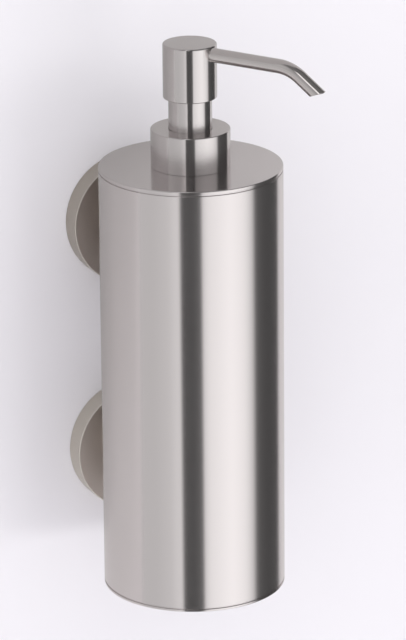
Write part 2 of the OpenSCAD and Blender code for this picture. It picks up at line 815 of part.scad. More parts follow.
module piston() {
    middle = (piston_top_z + piston_foot_z) / 2;
    color(rubber) on_axis() turned([
        [stem_spigot_r + run_gap, piston_foot_z],
        [piston_hub_r, piston_foot_z],
        [piston_hub_r, middle - piston_web_t / 2],
        [piston_r - lip_waist - lip_t, middle - piston_web_t / 2],
        [piston_r - lip_t, piston_foot_z],
        [piston_r, piston_foot_z],
        [piston_r, piston_foot_z + lip_h],
        [piston_r - lip_waist, middle],
        [piston_r, piston_top_z - lip_h],
        [piston_r, piston_top_z],
        [piston_r - lip_t, piston_top_z],
        [piston_r - lip_waist - lip_t, middle + piston_web_t / 2],
        [piston_hub_r, middle + piston_web_t / 2],
        [piston_hub_r, piston_top_z],
        [stem_spigot_r + run_gap, piston_top_z]
    ]);
}

module stem() {
    shoulder_z = piston_top_z + run_gap;
    foot_z = foot_flange_z - foot_socket_len;
    color(milky) on_axis() turned([
        [stem_bore_r, foot_z],
        [stem_spigot_r, foot_z],
        [stem_spigot_r, shoulder_z],
        [stem_r, shoulder_z],
        [stem_r, stem_top_z],
        [stem_bore_r + outlet_seat_h, stem_top_z],
        [stem_bore_r, outlet_seat_z]
    ]);
}

module stem_foot() {
    socket_z = foot_flange_z - foot_socket_len - fit_gap;
    color(milky) on_axis() turned([
        [stem_bore_r, foot_flange_z - foot_barrel_len],
        [stem_r, foot_flange_z - foot_barrel_len],
        [stem_r, foot_flange_z - foot_flange_t],
        [foot_flange_r, foot_flange_z - foot_flange_t],
        [foot_flange_r, foot_flange_z],
        [stem_spigot_r + fit_gap, foot_flange_z],
        [stem_spigot_r + fit_gap, socket_z],
        [stem_bore_r, socket_z]
    ]);
}

module inlet_ball() {
    color(dark_metal) on_axis() translate([0, 0, inlet_ball_z]) sphere(r = inlet_r);
}

module outlet_ball() {
    color(dark_metal) on_axis() translate([0, 0, outlet_ball_z]) sphere(r = outlet_r);
}

// Head

module head_shell() {
    color(metal) on_axis() difference() {
        turned(concat(
            [
                [0, head_top_z],
                [0, head_top_z - head_wall],
                [head_in_r, head_top_z - head_wall],
                [head_in_r, head_floor_edge_z],
                [sleeve_in_r, head_floor_z],
                [sleeve_in_r, sleeve_foot_z],
                [sleeve_r, sleeve_foot_z],
                [sleeve_r, under_z]
            ],
            rounding(head_r - head_foot_r, foot_round_z, head_foot_r, under_angle - 90, 0),
            rounding(head_r - head_edge_r, head_top_z - head_edge_r, head_edge_r, 0, 90)
        ));
        to_spout() rotate([0, 90, 0]) cylinder(r = spout_r + fit_gap, h = head_d);
    }
}

module head_core() {
    color(milky) on_axis() difference() {
        turned([
            [0, core_foot_z],
            [core_low_r, core_foot_z],
            [core_low_r, head_floor_z + fit_gap],
            [core_r, head_floor_edge_z + fit_gap],
            [core_r, core_top_z],
            [0, core_top_z]
        ]);
        translate([0, 0, core_foot_z - cut])
            cylinder(r = stem_r + fit_gap, h = stem_seat_shoulder - core_foot_z + cut);
        cylinder(r = outlet_chamber_r, h = outlet_roof_z);
        cylinder(r = channel_r, h = spout_z);
        for (turn = [0, 120, 240]) rotate([0, 0, turn])
            translate([0, -cage_slot_w / 2, outlet_roof_z - fit_gap])
                cube([outlet_chamber_r, cage_slot_w, spout_z - outlet_roof_z]);
        to_spout() rotate([0, 90, 0]) {
            cylinder(r = channel_r, h = head_d);
            translate([0, 0, spout_start - fit_gap]) cylinder(r = spout_r + fit_gap, h = head_d);
        }
    }
}

module spout_tube() {
    outer = spout_rings(spout_r);
    inner = spout_rings(spout_bore_r);
    n = len(outer);
    last = n - spout_sides;
    color(metal) on_axis() to_spout() polyhedron(
        points = concat(outer, inner),
        faces = concat(
            wall_faces(0, last, false),
            wall_faces(n, last, true),
            rim_faces(0, n, true),
            rim_faces(last, n + last, false)
        )
    );
}

body_tube();
base_plate();
top_cover();
cover_seal_ring();
inner_bottle();
upper_rosette();
lower_rosette();
upper_wall_plate();
lower_wall_plate();
upper_post();
lower_post();
grub_screws();
rosette_screws();
tube_screws();
saddle_washers();
pump_housing();
stem_guide();
neck_gasket();
dip_tube();
return_spring();
collar_shell();
screw_cap();
piston();
head_shell();
head_core();
spout_tube();
stem();
stem_foot();
inlet_ball();
outlet_ball();
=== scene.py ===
"""The looks of a wall-mounted liquid soap dispenser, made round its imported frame. Metres."""
import json
import math

import bpy
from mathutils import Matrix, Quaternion, Vector


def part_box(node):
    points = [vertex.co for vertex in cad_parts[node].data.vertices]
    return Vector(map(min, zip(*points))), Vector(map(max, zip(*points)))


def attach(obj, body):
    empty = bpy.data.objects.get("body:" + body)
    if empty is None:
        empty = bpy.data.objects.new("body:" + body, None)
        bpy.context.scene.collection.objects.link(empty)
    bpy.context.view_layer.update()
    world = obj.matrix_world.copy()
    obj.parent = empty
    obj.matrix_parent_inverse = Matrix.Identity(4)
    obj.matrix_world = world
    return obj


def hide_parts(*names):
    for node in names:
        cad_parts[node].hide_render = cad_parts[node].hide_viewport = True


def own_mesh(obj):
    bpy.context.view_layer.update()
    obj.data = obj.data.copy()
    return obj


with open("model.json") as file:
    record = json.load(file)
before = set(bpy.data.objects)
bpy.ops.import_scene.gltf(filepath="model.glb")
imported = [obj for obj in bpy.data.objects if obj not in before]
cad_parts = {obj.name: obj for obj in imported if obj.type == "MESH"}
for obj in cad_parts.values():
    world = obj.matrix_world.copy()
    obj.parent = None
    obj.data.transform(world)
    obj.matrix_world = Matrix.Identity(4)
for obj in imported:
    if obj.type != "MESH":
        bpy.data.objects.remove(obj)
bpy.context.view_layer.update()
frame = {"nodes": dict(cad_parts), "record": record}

MM = 0.001
FULL_TURN = 2 * math.pi

# Where the pieces lie, read from the frame
tube_low, tube_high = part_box("body_tube")
AXIS = Vector(((tube_low.x + tube_high.x) / 2, (tube_low.y + tube_high.y) / 2, 0))
BODY_RADIUS = (tube_high.x - tube_low.x) / 2
cover_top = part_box("top_cover")[1].z
base_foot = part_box("base_plate")[0].z
head_low, head_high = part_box("head_shell")
HEAD_RADIUS = (head_high.x - head_low.x) / 2
collar_low, collar_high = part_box("collar_shell")
COLLAR_RADIUS = (collar_high.x - collar_low.x) / 2
rosette_heights = [
    (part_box(node)[0].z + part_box(node)[1].z) / 2 for node in ("upper_rosette", "lower_rosette")
]

# Sizes that several pieces share, in millimetres
FIT_GAP = 0.05
BODY_R = BODY_RADIUS / MM
TUBE_WALL = 1.5
TUBE_IN_R = BODY_R - TUBE_WALL
TUBE_TOP_Z = tube_high.z / MM
TUBE_FOOT_Z = tube_low.z / MM
SEAM_DEPTH = 0.45
SEAM_R = BODY_R - SEAM_DEPTH
NECK_R = 13.0
NECK_BORE_R = 10.8
NECK_TOP_Z = 101.85

# The thread between the bottle's neck and the cap
THREAD_TURNS = 1.5
THREAD_PITCH = 4.2 * MM
THREAD_RIDGE = 0.5 * MM
THREAD_SINK = 0.1 * MM
THREAD_TAPER = 8

# The spout: a straight tube, a bend and a slanting end
SPOUT_RADIUS = 2.95 * MM
SPOUT_WALL = 0.6 * MM
SPOUT_DEPTH = 3.6 * MM
SPOUT_START = 5.0 * MM
SPOUT_STRAIGHT = 42.6 * MM
SPOUT_REACH = 61.0 * MM
SPOUT_BEND = 18.0 * MM
SPOUT_BEND_ANGLE = math.radians(35)
SPOUT_CUT_ANGLE = math.radians(21)
SPOUT_TURN = math.radians(32)

# The return spring at rest, and how far the pump presses it
SPRING_FOOT = 58.3 * MM
SPRING_TOP = 84.3 * MM

# How finely the pieces are made
TURN_STEPS = 192
HOLE_SIDES = 64
SPOUT_SIDES = 64
SPOUT_BEND_STEPS = 24
SUCTION_TUBE_SIDES = 48
COIL_STEPS = 40
WIRE_RESOLUTION = 3
ROUND_STEPS = 14
SMALL_ROUND_STEPS = 5
SMALL_ROUND = 2 * MM
MERGE_DISTANCE = MM / 500
SMOOTH_ANGLE = math.radians(32)


# Modelling helpers

def select_only(piece):
    bpy.ops.object.select_all(action="DESELECT")
    piece.select_set(True)
    bpy.context.view_layer.objects.active = piece


def apply_modifier(piece, kind, **settings):
    """Gives the active piece a modifier with these settings, and applies it."""
    bpy.ops.object.modifier_add(type=kind)
    for key, value in settings.items():
        setattr(piece.modifiers[-1], key, value)
    bpy.ops.object.modifier_apply(modifier=piece.modifiers[-1].name)


def finish_mesh(piece):
    """Places the mesh for good and shades it, and keeps flat faces flat beside rounded edges."""
    select_only(piece)
    bpy.ops.object.transform_apply(location=True, rotation=True, scale=True)
    bpy.ops.object.shade_smooth_by_angle(angle=SMOOTH_ANGLE)
    apply_modifier(piece, "WEIGHTED_NORMAL", keep_sharp=True)


def in_mm(*corners):
    """An outline's corners in metres, from millimetres."""
    return [tuple(value * MM for value in corner) for corner in corners]


def rounded(outline):
    """The outline's points, where a corner given as (radius, height, rounding) becomes an arc."""
    points = []
    for i, corner in enumerate(outline):
        here = Vector(corner[:2])
        if len(corner) == 2:
            points.append(here)
            continue
        rounding = corner[2]
        back = (Vector(outline[i - 1][:2]) - here).normalized()
        on = (Vector(outline[(i + 1) % len(outline)][:2]) - here).normalized()
        half = back.angle(on) / 2
        middle = here + (back + on).normalized() * rounding / math.sin(half)
        start = here + back * rounding / math.tan(half) - middle
        end = here + on * rounding / math.tan(half) - middle
        steps = SMALL_ROUND_STEPS if rounding < SMALL_ROUND else ROUND_STEPS
        for step in range(steps + 1):
            share = step / steps
            way = (start * (1 - share) + end * share).normalized()
            points.append(middle + way * rounding)
    return points


def push_out(way):
    """Extrudes what is selected."""
    bpy.ops.mesh.extrude_region_move(TRANSFORM_OT_translate={"value": way})


def turned(name, outline, axis=AXIS, closed=True):
    """A piece turned on a lathe: its outline is drawn beside the axis and spun round it."""
    points = [Vector((axis.x + p.x, axis.y, axis.z + p.y)) for p in rounded(outline)]
    bpy.ops.object.select_all(action="DESELECT")
    bpy.ops.mesh.primitive_plane_add(size=MM, location=points[0])
    piece = bpy.context.object
    piece.name = name
    bpy.ops.object.mode_set(mode="EDIT")
    bpy.ops.mesh.select_mode(type="VERT")
    bpy.ops.mesh.merge(type="CENTER")
    for here, there in zip(points, points[1:]):
        push_out(there - here)
    if closed:
        push_out(points[0] - points[-1])
    bpy.ops.mesh.select_all(action="SELECT")
    bpy.ops.mesh.spin(steps=TURN_STEPS, angle=FULL_TURN, center=axis, axis=(0, 0, 1))
    bpy.ops.mesh.select_all(action="SELECT")
    bpy.ops.mesh.remove_doubles(threshold=MERGE_DISTANCE)
    bpy.ops.mesh.normals_make_consistent(inside=False)
    bpy.ops.object.mode_set(mode="OBJECT")
    bpy.ops.object.transform_apply(location=True, rotation=True, scale=True)
    return piece


def coil(radius, foot, pitches):
    """Points of a coil round the body's axis, from pairs of a number of turns and their pitch."""
    points = []
    height = foot
    for turns, pitch in pitches:
        first = len(points)
        for step in range(round(turns * COIL_STEPS)):
            angle = FULL_TURN * (first + step) / COIL_STEPS
            side = Vector((radius * math.cos(angle), radius * math.sin(angle), height))
            points.append(AXIS + side)
            height += pitch / COIL_STEPS
    return points


def wound(name, points, wire, taper=0):
    """A round wire along the points. With a taper, its ends run out over that many points."""
    bpy.ops.object.select_all(action="DESELECT")
    curve = bpy.data.curves.new(name, "CURVE")
    curve.dimensions = "3D"
    curve.bevel_depth = wire
    curve.bevel_resolution = WIRE_RESOLUTION
    curve.use_fill_caps = True
    line = curve.splines.new("POLY")
    line.points.add(len(points) - 1)
    for i, (point, place) in enumerate(zip(line.points, points)):
        point.co = (*place, 1)
        point.radius = min(1, (min(i, len(points) - 1 - i) + 1) / (taper + 1))
    piece = bpy.data.objects.new(name, curve)
    bpy.context.scene.collection.objects.link(piece)
    select_only(piece)
    bpy.ops.object.convert(target="MESH")
    return piece


def threaded(piece, name, radius, foot):
    """The piece with a thread's ridge moulded on."""
    turns = coil(radius, foot, [(THREAD_TURNS, THREAD_PITCH)])
    ridge = wound(name, turns, THREAD_RIDGE, THREAD_TAPER)
    select_only(piece)
    ridge.select_set(True)
    bpy.ops.object.join()
    return piece


def start_tube(name, sides, radius, place, turn=(0, 0, 0)):
    """Opens a tube with a ring of points, which stays selected in edit mode."""
    bpy.ops.object.select_all(action="DESELECT")
    bpy.ops.mesh.primitive_circle_add(vertices=sides, radius=radius, location=place, rotation=turn)
    piece = bpy.context.object
    piece.name = name
    bpy.ops.object.transform_apply(location=True, rotation=True, scale=True)
    bpy.ops.object.mode_set(mode="EDIT")
    bpy.ops.mesh.select_all(action="SELECT")
    return piece


def end_tube(piece, place, normal, wall):
    """Cuts the tube off at a plane and thickens it inwards."""
    bpy.ops.mesh.select_all(action="SELECT")
    bpy.ops.mesh.bisect(plane_co=place, plane_no=normal, clear_outer=True)
    bpy.ops.mesh.select_all(action="SELECT")
    bpy.ops.mesh.normals_make_consistent(inside=False)
    bpy.ops.object.mode_set(mode="OBJECT")
    apply_modifier(piece, "SOLIDIFY", thickness=wall, offset=-1)


def cut_away(piece, cutter):
    """Takes the cutter's shape out of the piece."""
    select_only(piece)
    apply_modifier(piece, "BOOLEAN", object=cutter)
    bpy.data.objects.remove(cutter)


def drill(piece, radius, centre, depth, turn=(0, 0, 0), sides=HOLE_SIDES):
    """Drills a round hole whose middle lies at the centre."""
    bpy.ops.object.select_all(action="DESELECT")
    bpy.ops.mesh.primitive_cylinder_add(
        vertices=sides, radius=radius, depth=depth, location=centre, rotation=turn,
    )
    cut_away(piece, bpy.context.object)


def set_on_wall(piece, height):
    """Lays a piece that was turned upright on the wall, with its axis towards the room."""
    piece.rotation_euler.x = math.pi / 2
    piece.location.z = height
    select_only(piece)
    bpy.ops.object.transform_apply(location=True, rotation=True, scale=True)


# Shader maths

class Term:
    """A value that runs through a finish. Arithmetic on it adds Math nodes."""

    def __init__(self, finish, socket):
        self.finish = finish
        self.socket = socket

    def math(self, operation, other=0.0):
        return self.finish.node("ShaderNodeMath", {"operation": operation}, {0: self, 1: other})

    def __add__(self, other):
        return self.math("ADD", other)

    def __sub__(self, other):
        return self.math("SUBTRACT", other)

    def __mul__(self, other):
        return self.math("MULTIPLY", other)


def length(*parts):
    """The length of a way, from its parts along the axes."""
    squares = [part * part for part in parts]
    return sum(squares[1:], squares[0]).math("SQRT")


def dimmed(colour, share):
    return [channel * share for channel in colour]


class Finish:
    """The nodes of one material or of the world."""

    def __init__(self, owner):
        owner.use_nodes = True
        self.owner = owner
        self.tree = owner.node_tree
        self.tree.nodes.clear()

    def node(self, kind, settings=None, inputs=None, output=0):
        """Adds a node. Settings are its properties and a ramp's stops.

        Inputs are numbers, colours or terms.
        """
        made = self.tree.nodes.new(kind)
        for key, value in (settings or {}).items():
            if key == "stops":
                self.set_stops(made.color_ramp.elements, value)
            else:
                setattr(made, key, value)
        for key, value in (inputs or {}).items():
            if isinstance(value, Term):
                self.tree.links.new(value.socket, made.inputs[key])
            else:
                made.inputs[key].default_value = value
        return Term(self, made.outputs[output]) if made.outputs else None

    @staticmethod
    def set_stops(elements, stops):
        elements.remove(elements[1])
        for i, (place, level) in enumerate(stops):
            stop = elements[0] if i == 0 else elements.new(place)
            stop.position = place
            stop.color = (level, level, level, 1)

    def place(self, centre=(0, 0, 0)):
        """Object coordinates, counted from a centre."""
        plain = self.node("ShaderNodeTexCoord", output="Object")
        back = [-value for value in centre]
        return self.node("ShaderNodeMapping", None, {"Vector": plain, "Location": back})

    def split(self, vector):
        made = self.tree.nodes.new("ShaderNodeSeparateXYZ")
        self.tree.links.new(vector.socket, made.inputs[0])
        return [Term(self, socket) for socket in made.outputs]

    def join(self, x, y, z):
        return self.node("ShaderNodeCombineXYZ", None, {0: x, 1: y, 2: z})

    def noise(self, vector, scale=1.0, detail=2.0, roughness=0.5):
        return self.node(
            "ShaderNodeTexNoise",
            {"noise_dimensions": "3D"},
            {"Vector": vector, "Scale": scale, "Detail": detail, "Roughness": roughness},
        )

    def blend(self, share, first, second):
        inputs = {0: share, 6: (*first, 1), 7: (*second, 1)}
        return self.node("ShaderNodeMix", {"data_type": "RGBA"}, inputs, output=2)

    def remap(self, value, low, high, start=0.0, end=1.0):
        """Runs from start to end while the value runs from low to high, and stays level beyond."""
        return self.node("ShaderNodeMapRange", None, {
            "Value": value, "From Min": low, "From Max": high, "To Min": start, "To Max": end,
        })

    def bump(self, height, distance):
        inputs = {"Height": height, "Distance": distance, "Strength": 1.0}
        return self.node("ShaderNodeBump", None, inputs)

    def principled(self, inputs):
        return self.node("ShaderNodeBsdfPrincipled", None, inputs)

    def surface(self, shader, kind="ShaderNodeOutputMaterial"):
        self.node(kind, None, {"Surface": shader})
        return self.owner


def new_finish(name):
    return Finish(bpy.data.materials.new(name))


# Finishes. Their patterns are counted in repeats to the metre.

def brushed_steel(
    name, centre, axis="Z", colour=(0.66, 0.621, 0.62), roughness=0.22, stretch=0.95, grain=1.0,
):
    """Satin steel whose fine lines run round an axis, on the walls as on the flat ends."""
    round_repeats, hair_repeats, streak_repeats, cloud_repeats = 35.0, 7000.0, 900.0, 28.0
    hair_share, streak_share, cloud_share = 0.3, 0.3, 0.4
    darkest = 0.95
    cloud_roughness, streak_roughness = 0.04, 0.03
    hair_depth = 0.0008 * MM
    finish = new_finish(name)
    place = finish.place(centre)
    x, y, z = finish.split(place)
    across, along = (y, z) if axis == "Z" else (z, y)
    line = length(x, across) + along
    here, there = x * round_repeats, across * round_repeats
    hair_place = finish.join(here, there, line * hair_repeats)
    hair = finish.noise(hair_place, detail=3.0, roughness=0.6)
    streak = finish.noise(finish.join(here, there, line * streak_repeats))
    cloud = finish.noise(place, scale=cloud_repeats)
    shade = hair * hair_share + streak * streak_share + cloud * cloud_share
    uneven = (cloud - 0.5) * cloud_roughness + (streak - 0.5) * streak_roughness
    return finish.surface(finish.principled({
        "Base Color": finish.blend(shade, dimmed(colour, darkest), colour),
        "Metallic": 1.0,
        "Roughness": uneven + roughness,
        "Anisotropic": stretch,
        "Anisotropic Rotation": 0.25,
        "Normal": finish.bump(hair, hair_depth * grain),
    }))


def drawn_steel(name):
    """The spout's steel, with drawing lines that follow the tube round its bend."""
    colour = (0.64, 0.602, 0.592)
    darkest = 0.84
    roughness, band_roughness = 0.15, 0.06
    line_depth = 0.0015 * MM
    arch = 0.55 / SPOUT_BEND
    bend_run = SPOUT_BEND * math.sin(SPOUT_BEND_ANGLE)
    finish = new_finish(name)
    x, y, z = finish.split(finish.place(AXIS))
    along = x * math.sin(SPOUT_TURN) - y * math.cos(SPOUT_TURN)
    aside = x * math.cos(SPOUT_TURN) + y * math.sin(SPOUT_TURN)
    past = (along - SPOUT_STRAIGHT).math("MAXIMUM", 0.0)
    in_bend = past.math("MINIMUM", bend_run)
    drop = in_bend * in_bend * arch + (past - in_bend) * math.tan(SPOUT_BEND_ANGLE)
    level = z + drop
    line_place, band_place = [
        finish.join(along * along_repeats, aside * cross_repeats, level * cross_repeats)
        for along_repeats, cross_repeats in ((12.0, 1500.0), (25.0, 420.0))
    ]
    lines = finish.noise(line_place, detail=3.0, roughness=0.6)
    bands = finish.noise(band_place)
    return finish.surface(finish.principled({
        "Base Color": finish.blend(lines * 0.5 + bands * 0.5, dimmed(colour, darkest), colour),
        "Metallic": 1.0,
        "Roughness": (bands - 0.5) * band_roughness + roughness,
        "Normal": finish.bump(lines, line_depth),
    }))


def plain_metal(name, colour, roughness):
    """Screws, plates and the spring: metal with a faint mottle and no brushed lines."""
    cloud_repeats, fine_repeats = 180.0, 2600.0
    darkest = 0.86
    cloud_roughness = 0.08
    fine_depth = 0.006 * MM
    finish = new_finish(name)
    place = finish.place()
    cloud = finish.noise(place, scale=cloud_repeats, detail=3.0)
    fine = finish.noise(place, scale=fine_repeats)
    return finish.surface(finish.principled({
        "Base Color": finish.blend(cloud, dimmed(colour, darkest), colour),
        "Metallic": 1.0,
        "Roughness": (cloud - 0.5) * cloud_roughness + roughness,
        "Normal": finish.bump(fine, fine_depth),
    }))


def moulded(name, colour, roughness):
    """Moulded plastic or rubber: a slightly uneven skin and a fine bloom."""
    cloud_repeats, skin_repeats = 90.0, 900.0
    darkest = 0.94
    cloud_roughness = 0.12
    skin_depth = 0.01 * MM
    finish = new_finish(name)
    place = finish.place()
    cloud = finish.noise(place, scale=cloud_repeats)
    skin = finish.noise(place, scale=skin_repeats)
    return finish.surface(finish.principled({
        "Base Color": finish.blend(cloud, dimmed(colour, darkest), colour),
        "Roughness": (cloud - 0.5) * cloud_roughness + roughness,
        "Normal": finish.bump(skin, skin_depth),
    }))


def backdrop_paint(name, colour, painted_shading_level=1.0):
    """Matt paint with painted light (level above 1) or painted shade (below 1) higher up and to the
    left.

    A camera behind it looks through. It is open behind the rosettes, so that light reaches
    their backs.
    """
    left_end = -0.07
    lean = 1.2
    painted_shading_foot, painted_shading_top = -0.12, 0.2
    opening_radius = 27 * MM
    finish = new_finish(name)
    across, _, height = finish.split(finish.place())
    right = across.math("MAXIMUM", left_end)
    # Painted light and shade: share runs from 0 low and right to 1 high and left, and scales the
    # colour towards the level.
    share = finish.remap(height - right * lean, painted_shading_foot, painted_shading_top)
    paint = finish.principled({
        "Base Color": finish.blend(share, colour, dimmed(colour, painted_shading_level)),
        "Roughness": 1.0,
        "Specular IOR Level": 0.0,
    })
    clear = finish.node("ShaderNodeBsdfTransparent")
    opening = finish.node("ShaderNodeNewGeometry", output="Backfacing")
    for centre in rosette_heights:
        behind_rosette = length(across, height - centre).math("LESS_THAN", opening_radius)
        opening = opening.math("MAXIMUM", behind_rosette)
    mixed = finish.node("ShaderNodeMixShader", None, {0: opening, 1: paint, 2: clear})
    return finish.surface(mixed)


# Stage

CAMERA_TURN = math.radians(-25)


def set_up(name, data, place, back, roll=0.0):
    """A camera or a lamp at its place, with its back turned the way that is given."""
    made = bpy.data.objects.new(name, data)
    bpy.context.scene.collection.objects.link(made)
    made.location = place
    made.rotation_mode = "QUATERNION"
    made.rotation_quaternion = back.to_track_quat("Z", "Y") @ Quaternion((0, 0, 1), roll)
    return made


def camera():
    """The photographed view, in the picture's own frame of 406 by 640."""
    rise = math.radians(19.07)
    roll = math.radians(-0.51)
    aim = Vector((4.07, -67.90, 23.8)) * MM
    distance = 1.989
    back = Vector((
        math.sin(CAMERA_TURN) * math.cos(rise),
        -math.cos(CAMERA_TURN) * math.cos(rise),
        math.sin(rise),
    ))
    data = bpy.data.cameras.new("camera")
    data.sensor_fit = "AUTO"
    data.sensor_width = 36
    data.lens = 269.9
    bpy.context.scene.camera = set_up("camera", data, aim + back * distance, back, roll)


def board(name, low, high, finish):
    """A flat rectangle between two corners, facing the object."""
    middle = (low + high) / 2
    size = Vector([abs(value) for value in high - low])
    lies = size.z == 0
    turn = (0 if lies else math.pi / 2, 0, 0)
    bpy.ops.object.select_all(action="DESELECT")
    bpy.ops.mesh.primitive_plane_add(size=1, location=middle, rotation=turn)
    plane = bpy.context.object
    plane.name = name
    plane.scale = (size.x, size.y if lies else size.z, 1)
    bpy.ops.object.transform_apply(location=True, rotation=True, scale=True)
    plane.data.materials.append(finish)
    return plane


def show_in_steel_only(piece):
    piece.visible_camera = False
    piece.visible_diffuse = False
    piece.visible_shadow = False
    piece.visible_transmission = False


def backdrop():
    """The wall, a floor well below, and the stretch the steel mirrors, with painted light and
    shade.
    """
    half_width, height, floor_level = 1.6, 2.4, -0.5
    wall_gap = 0.2 * MM
    mirrored_width = 0.255
    mirrored_nearer = Vector((0, -0.1 * MM, 0))
    wall_colour = (0.87, 0.85, 0.875)
    floor_colour = (0.9, 0.89, 0.91)
    # Painted shade: the stretch of wall that only the steel mirrors is darker than the wall itself.
    mirrored_shaded_colour = (0.765, 0.748, 0.733)
    back_left = Vector((-half_width, wall_gap, floor_level))
    back_right = Vector((half_width, wall_gap, floor_level + height))
    front_right = Vector((half_width, wall_gap - height, floor_level))
    # Painted light: the wall's colour is 6% lighter higher up and to the left, standing in for
    # light from the upper left.
    wall_paint_with_painted_light = backdrop_paint("pale_wall", wall_colour, painted_shading_level=1.06)
    wall = board("wall", back_left, back_right, wall_paint_with_painted_light)
    floor = board("floor", back_left, front_right, backdrop_paint("pale_floor", floor_colour))
    wall.visible_glossy = False
    floor.visible_glossy = False
    mirrored_left = back_left + mirrored_nearer
    mirrored_right = Vector((mirrored_width, back_right.y, back_right.z)) + mirrored_nearer
    # Painted shade: higher up and to the left it darkens further, down to 0.69 of its colour.
    mirrored_paint_with_painted_shade = backdrop_paint("mirrored_wall", mirrored_shaded_colour, painted_shading_level=0.69)
    mirrored = board("mirrored_wall", mirrored_left, mirrored_right, mirrored_paint_with_painted_shade)
    show_in_steel_only(mirrored)


# What the steel mirrors in front of the wall: the angle in degrees from the camera's side round to
# its right, and the level there. The second list holds what it mirrors higher up, where the bright
# screen has ended.
REFLECTIONS = [
    (-180, 0.72), (-80, 0.74), (-50, 0.74), (-30, 0.83), (-17, 1.0), (-15, 1.04), (-13, 0.11),
    (0, 0.11), (11.8, 0.17), (14.2, 1.04), (22, 1.25), (50, 1.47), (67, 1.36), (75, 1.18),
    (82, 0.92), (86, 0.2), (92, 0.14), (104, 0.1), (150, 0.08), (170, 0.4), (180, 0.72),
]

HIGH_REFLECTIONS = [
    (-180, 0.6), (-40, 0.64), (-27, 0.72), (-20, 0.95), (-15, 1.1), (-13, 0.11), (11.8, 0.12),
    (14.2, 0.36), (40, 0.54), (78, 0.52), (86, 0.12), (150, 0.08), (180, 0.6),
]

# Two soft bright places on the dome: their direction, inner and outer size, and level
LAMP_OVERHEAD = ((-0.125, -0.644, 0.755), 0.12, 0.2, 0.7)
PALE_SIDE = ((-0.714, -0.333, 0.616), 0.15, 0.45, 0.14)


def studio_dome():
    """A far dome that only the steel sees: light walls, a bright screen, dark gaps and a lamp."""
    radius = 9.0
    brightest = 2.0
    bpy.ops.object.select_all(action="DESELECT")
    bpy.ops.mesh.primitive_uv_sphere_add(segments=64, ring_count=32, radius=radius, location=AXIS)
    dome = bpy.context.object
    dome.name = "studio_dome"
    dome.rotation_euler.z = CAMERA_TURN
    finish = new_finish("studio_dome")
    x, y, rise = finish.split(finish.place())
    around = x.math("ARCTAN2", y * -1.0) * (1 / FULL_TURN) + 0.5
    low, high = [
        finish.node("ShaderNodeValToRGB", {
            "stops": [((degrees + 180) / 360, level / brightest) for degrees, level in reflections],
        }, {"Fac": around})
        for reflections in (REFLECTIONS, HIGH_REFLECTIONS)
    ]

    def by_height(foot, top, start=0.0, end=1.0):
        """Changes between two heights, which are shares of the radius."""
        return finish.remap(rise, foot * radius, top * radius, start, end)

    levels = low + (high - low) * by_height(0.05, 0.2)
    glow = levels * by_height(0.25, 0.85, 1.0, 0.1) + by_height(0.4, 0.8, 0.0, 0.08)
    for way, near, far, level in (LAMP_OVERHEAD, PALE_SIDE):
        away = [value - there * radius for value, there in zip((x, y, rise), way)]
        glow = glow + finish.remap(length(*away), near * radius, far * radius, level, 0.0)
    light = finish.principled({
        "Base Color": (0, 0, 0, 1), "Specular IOR Level": 0.0,
        "Emission Color": glow, "Emission Strength": brightest,
    })
    dome.data.materials.append(finish.surface(light))
    dome.data.materials[0].cycles.emission_sampling = "NONE"
    show_in_steel_only(dome)


def lights():
    """Studio light, stronger from the upper left, and a large soft lamp in front, low and right."""
    rise_share = 0.85
    reach = 0.9
    weakest, strongest = 0.42, 1.34
    world = bpy.data.worlds.new("studio")
    bpy.context.scene.world = world
    finish = Finish(world)
    across, _, rise = finish.split(finish.node("ShaderNodeTexCoord", output="Generated"))
    strength = finish.remap(rise * rise_share - across, -reach, reach, weakest, strongest)
    air_inputs = {"Color": (0.98, 0.98, 1.0, 1), "Strength": strength}
    air = finish.node("ShaderNodeBackground", None, air_inputs)
    finish.surface(air, "ShaderNodeOutputWorld")
    world.cycles_visibility.glossy = False
    place = Vector((0.8, -1.9, -0.45))
    aim = Vector((0, 0, 0.02))
    data = bpy.data.lights.new("key", "AREA")
    data.shape = "RECTANGLE"
    data.size = 1.5
    data.size_y = 0.7
    data.energy = 12.2
    lamp = set_up("key", data, place, place - aim)
    lamp.visible_glossy = False


# Pieces. Their own sizes are in millimetres.

def body_shell():
    """The body's tube, with its edges broken and its two screw holes at the back."""
    edge = 0.15
    hole_r = 3.25
    hole_depth = 10
    piece = turned("body_shell", in_mm(
        (BODY_R, TUBE_FOOT_Z, edge), (BODY_R, TUBE_TOP_Z, edge),
        (TUBE_IN_R, TUBE_TOP_Z, edge), (TUBE_IN_R, TUBE_FOOT_Z, edge),
    ))
    for height in rosette_heights:
        back_wall = (AXIS.x, AXIS.y + BODY_RADIUS, height)
        drill(piece, hole_r * MM, back_wall, hole_depth * MM, (math.pi / 2, 0, 0))
    return piece


def cover():
    """The top cover: a rounded rim, a shadow seam, and a grooved spigot that goes into the tube."""
    top = cover_top / MM
    rim_foot = top - 1.4
    hole_r = 13.3
    spigot_r = TUBE_IN_R - 0.2
    spigot_in_r = spigot_r - 2.5
    spigot_foot = TUBE_TOP_Z - 8
    groove_r = TUBE_IN_R - 1.9
    groove_z = TUBE_TOP_Z - 4
    groove_half = 1.05
    groove_low = groove_z - groove_half
    groove_high = groove_z + groove_half
    return turned("cover", in_mm(
        (hole_r, top, 0.2), (hole_r, TUBE_TOP_Z), (spigot_in_r, TUBE_TOP_Z),
        (spigot_in_r, spigot_foot, 0.2), (spigot_r, spigot_foot, 0.3), (spigot_r, groove_low),
        (groove_r, groove_low), (groove_r, groove_high), (spigot_r, groove_high),
        (spigot_r, TUBE_TOP_Z), (SEAM_R, TUBE_TOP_Z), (SEAM_R, rim_foot),
        (BODY_R, rim_foot, 0.12), (BODY_R, top, 0.4),
    ))


